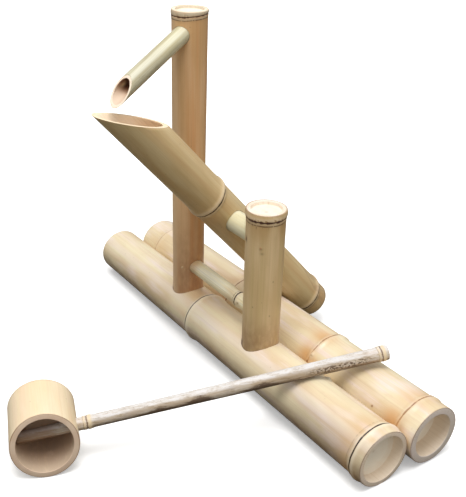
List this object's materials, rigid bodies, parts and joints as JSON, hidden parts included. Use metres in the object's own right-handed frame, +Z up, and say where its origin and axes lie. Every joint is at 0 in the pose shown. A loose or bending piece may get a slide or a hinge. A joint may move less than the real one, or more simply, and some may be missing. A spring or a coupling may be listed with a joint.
{
  "type": "bamboo fountain",
  "caption": "Bamboo deer-scarer fountain with a tipping tube on an axle between two posts, a slanted spout, twin ground poles and a long-handled ladle.",
  "frame": {"origin": "on the ground straight below the tipping tube's pivot, in the middle of the front pole's planed underside", "axes": "+X along the ground poles to their near ends, +Y from the front pole to the rear pole, +Z up"},
  "size_m": [0.6331, 0.5362, 0.4699],
  "materials": {
    "front_pole_bamboo": "satin",
    "rear_pole_bamboo": "satin",
    "tall_post_bamboo": "satin",
    "short_post_bamboo": "satin",
    "tube_bamboo": "satin",
    "bar_bamboo": "satin",
    "spout_bamboo": "satin",
    "cup_bamboo": "satin",
    "handle_bamboo": "matte",
    "pin_wood": "matte",
    "dowel_wood": "matte"
  },
  "bodies": {
    "frame": {"front_pole": "front_pole_bamboo", "rear_pole": "rear_pole_bamboo", "tall_post": "tall_post_bamboo", "short_post": "short_post_bamboo", "axle": "bar_bamboo", "crossbar": "bar_bamboo", "spout": "spout_bamboo", "axle_pin_tall": "pin_wood", "axle_pin_short": "pin_wood", "crossbar_pin_tall": "pin_wood", "crossbar_pin_short": "pin_wood", "foot_pin_tall": "pin_wood", "foot_pin_short": "pin_wood", "pole_dowel_far": "dowel_wood", "pole_dowel_middle": "dowel_wood", "pole_dowel_near": "dowel_wood"},
    "tube": {"tipping_tube": "tube_bamboo"},
    "ladle": {"ladle_cup": "cup_bamboo", "ladle_handle": "handle_bamboo"}
  },
  "joints": [
    {"name": "tube_tip", "type": "hinge", "parent": "frame", "child": "tube", "pos_m": [0, 0, 0.2166], "axis": [1, 0, 0], "range_deg": [0, 100]},
    {"name": "ladle_lift", "type": "slide", "parent": "frame", "child": "ladle", "axis": [0, 0, 1], "range_m": [0, 0.15]}
  ]
}
